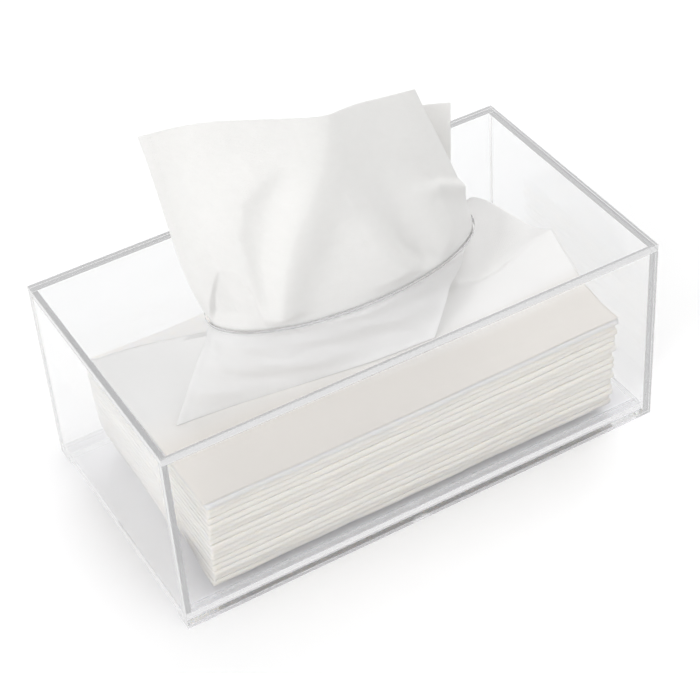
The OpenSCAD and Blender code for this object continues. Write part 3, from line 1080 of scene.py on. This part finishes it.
def stage_world():
    """White wherever the background is seen, and an even fill for the light."""
    world = bpy.data.worlds.new("studio")
    bpy.context.scene.world = world
    world.use_nodes = True
    n = Nodes(world.node_tree)
    out = n.add("ShaderNodeOutputWorld")
    path = n.add("ShaderNodeLightPath")
    place = n.add("ShaderNodeTexCoord").outputs["Generated"]
    up = n.add("ShaderNodeSeparateXYZ", {0: place}).outputs[2]
    room = n.ramp(up, 0.0, ROOM_TOP, ROOM_LEVEL, ROOM_HIGH)
    white = n.maths("MAXIMUM", room, path.outputs["Is Camera Ray"])
    sky = n.ramp(up, 0.0, 1.0, SKY_LEVEL, SKY_HIGH)
    fill = n.add("ShaderNodeBackground", {"Color": (1, 1, 1, 1), "Strength": sky})
    seen = n.add("ShaderNodeBackground", {"Color": (1, 1, 1, 1), "Strength": white})
    mix = n.add("ShaderNodeMixShader", {0: seen_rays(n), 1: fill.outputs[0], 2: seen.outputs[0]})
    n.tree.links.new(mix.outputs[0], out.inputs["Surface"])


def stage_lamp(name, place, aim, width, height, power):
    """A soft rectangular lamp, with its place and sides in metres and its power in watts."""
    data = bpy.data.lights.new(name, "AREA")
    data.shape = "RECTANGLE"
    data.size, data.size_y = width, height
    data.energy = power
    lamp = bpy.data.objects.new(name, data)
    lamp.location = place
    lamp.rotation_euler = (Vector(aim) - Vector(place)).to_track_quat("-Z", "Y").to_euler()
    bpy.context.scene.collection.objects.link(lamp)
    return lamp


class TISSUEBOX_OT_stage(Operator):
    """Set the camera, the floor, the lamps and the white background"""

    bl_idname = "tissuebox.stage"
    bl_label = "Stage"

    def execute(self, context):
        context.scene.view_settings.view_transform = "Standard"
        stage_camera()
        stage_floor(context.scene.tissue_stage)
        stage_world()
        # Its mirror image would show as a white wedge in the top, so gloss and clear sheet miss it
        back = stage_lamp("back_lamp", (0.65, 0.75, 1.15), (0, 0, 0.08), 0.9, 0.9, 6.0)
        back.visible_glossy = False
        back.visible_transmission = False
        stage_lamp("left_lamp", (-1.3, -0.5, 0.8), (0, 0, 0.1), 0.5, 0.5, 9.2)
        stage_lamp("top_lamp", (0.5, -0.4, 1.3), (0, 0, 0.05), 0.9, 0.9, 5.0)
        return {"FINISHED"}


class TISSUEBOX_PT_panel(Panel):
    """Lists the settings and the steps"""

    bl_idname = "TISSUEBOX_PT_panel"
    bl_label = "Tissue Box"
    bl_space_type = "VIEW_3D"
    bl_region_type = "UI"
    bl_category = "Tissue Box"

    def draw(self, context):
        scene = context.scene
        for group in (scene.tissue_casing, scene.tissue_pile, scene.tissue_loose, scene.tissue_stage):
            box = self.layout.box()
            for name in group.__annotations__:
                box.prop(group, name)
        for operator in STEPS:
            self.layout.operator(operator.bl_idname)


STEPS = (
    TISSUEBOX_OT_stage,
    TISSUEBOX_OT_casing,
    TISSUEBOX_OT_sliding_base,
    TISSUEBOX_OT_pile,
    TISSUEBOX_OT_next_tissue,
    TISSUEBOX_OT_pulled_tissue,
)
GROUPS = {
    "tissue_casing": CasingSettings,
    "tissue_pile": PileSettings,
    "tissue_loose": LooseSettings,
    "tissue_stage": StageSettings,
}


def register():
    """Register the settings on the scene, then the steps and the panel."""
    for name, group in GROUPS.items():
        bpy.utils.register_class(group)
        setattr(bpy.types.Scene, name, PointerProperty(type=group))
    for cls in (*STEPS, TISSUEBOX_PT_panel):
        bpy.utils.register_class(cls)


def unregister():
    """Take away what register added, in the opposite order."""
    for cls in (TISSUEBOX_PT_panel, *reversed(STEPS)):
        bpy.utils.unregister_class(cls)
    for name, group in GROUPS.items():
        delattr(bpy.types.Scene, name)
        bpy.utils.unregister_class(group)


def main():
    register()
    bpy.ops.tissuebox.stage()
    bpy.ops.tissuebox.casing()
    bpy.ops.tissuebox.sliding_base()
    bpy.ops.tissuebox.pile()
    bpy.ops.tissuebox.next_tissue()
    bpy.ops.tissuebox.pulled_tissue()


if __name__ == "__main__":
    main()
